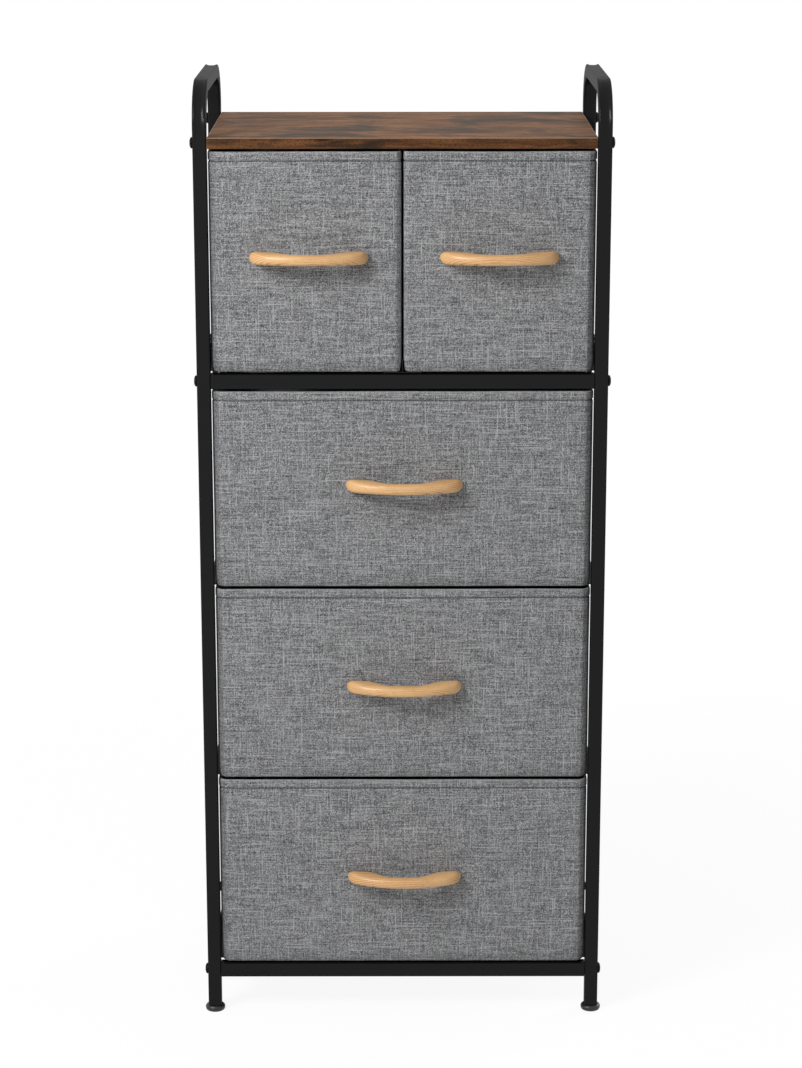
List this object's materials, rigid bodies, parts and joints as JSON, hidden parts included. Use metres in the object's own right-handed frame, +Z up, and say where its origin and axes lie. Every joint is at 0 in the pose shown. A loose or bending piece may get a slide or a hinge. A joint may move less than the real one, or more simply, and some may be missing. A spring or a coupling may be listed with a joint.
{
  "type": "fabric drawer dresser",
  "caption": "Tall dresser: black tube frame with side loops above a wood-effect top, and grey fabric drawers that slide on steel rails and have wooden bow handles.",
  "frame": {"origin": "on the floor under the middle of the bounding box", "axes": "+Z up, the drawer fronts face -Y and open that way, X runs along the width"},
  "size_m": [0.4576, 0.3058, 1.0672],
  "materials": {
    "frame_black": "satin",
    "bolt_black": "satin",
    "foot_black": "matte",
    "board_wood": "satin",
    "drawer_fabric": "matte",
    "stiffener": "matte",
    "handle_wood": "satin"
  },
  "bodies": {
    "frame": {"side_frame_left": "frame_black", "side_frame_right": "frame_black", "top_board": "board_wood", "bar_front_mid": "frame_black", "bar_rear_mid": "frame_black", "bar_front_bottom": "frame_black", "bar_rear_bottom": "frame_black", "rail_centre": "frame_black", "rail_left_1": "frame_black", "rail_left_2": "frame_black", "rail_left_3": "frame_black", "rail_left_4": "frame_black", "rail_right_1": "frame_black", "rail_right_2": "frame_black", "rail_right_3": "frame_black", "rail_right_4": "frame_black", "bolt_board_front_left": "bolt_black", "bolt_board_front_right": "bolt_black", "bolt_board_rear_left": "bolt_black", "bolt_board_rear_right": "bolt_black", "bolt_mid_front_left": "bolt_black", "bolt_mid_front_right": "bolt_black", "bolt_mid_rear_left": "bolt_black", "bolt_mid_rear_right": "bolt_black", "bolt_bottom_front_left": "bolt_black", "bolt_bottom_front_right": "bolt_black", "bolt_bottom_rear_left": "bolt_black", "bolt_bottom_rear_right": "bolt_black", "plug_front_left": "foot_black", "plug_front_right": "foot_black", "plug_rear_left": "foot_black", "plug_rear_right": "foot_black"},
    "drawer_1": {"box_1": "drawer_fabric", "front_board_1": "stiffener", "base_board_1": "stiffener", "handle_1": "handle_wood"},
    "drawer_2": {"box_2": "drawer_fabric", "front_board_2": "stiffener", "base_board_2": "stiffener", "handle_2": "handle_wood"},
    "drawer_3": {"box_3": "drawer_fabric", "front_board_3": "stiffener", "base_board_3": "stiffener", "handle_3": "handle_wood"},
    "drawer_4": {"box_4": "drawer_fabric", "front_board_4": "stiffener", "base_board_4": "stiffener", "handle_4": "handle_wood"},
    "drawer_5": {"box_5": "drawer_fabric", "front_board_5": "stiffener", "base_board_5": "stiffener", "handle_5": "handle_wood"},
    "levelling_foot_front_left": {"foot_front_left": "foot_black"},
    "levelling_foot_front_right": {"foot_front_right": "foot_black"},
    "levelling_foot_rear_left": {"foot_rear_left": "foot_black"},
    "levelling_foot_rear_right": {"foot_rear_right": "foot_black"}
  },
  "joints": [
    {"name": "drawer_1_slide", "type": "slide", "parent": "frame", "child": "drawer_1", "axis": [0, -1, 0], "range_m": [0, 0.2]},
    {"name": "drawer_2_slide", "type": "slide", "parent": "frame", "child": "drawer_2", "axis": [0, -1, 0], "range_m": [0, 0.2]},
    {"name": "drawer_3_slide", "type": "slide", "parent": "frame", "child": "drawer_3", "axis": [0, -1, 0], "range_m": [0, 0.2]},
    {"name": "drawer_4_slide", "type": "slide", "parent": "frame", "child": "drawer_4", "axis": [0, -1, 0], "range_m": [0, 0.2]},
    {"name": "drawer_5_slide", "type": "slide", "parent": "frame", "child": "drawer_5", "axis": [0, -1, 0], "range_m": [0, 0.2]},
    {"name": "foot_front_left_screw", "type": "slide", "parent": "frame", "child": "levelling_foot_front_left", "axis": [0, 0, -1], "range_m": [0, 0.01]},
    {"name": "foot_front_right_screw", "type": "slide", "parent": "frame", "child": "levelling_foot_front_right", "axis": [0, 0, -1], "range_m": [0, 0.01]},
    {"name": "foot_rear_left_screw", "type": "slide", "parent": "frame", "child": "levelling_foot_rear_left", "axis": [0, 0, -1], "range_m": [0, 0.01]},
    {"name": "foot_rear_right_screw", "type": "slide", "parent": "frame", "child": "levelling_foot_rear_right", "axis": [0, 0, -1], "range_m": [0, 0.01]}
  ]
}
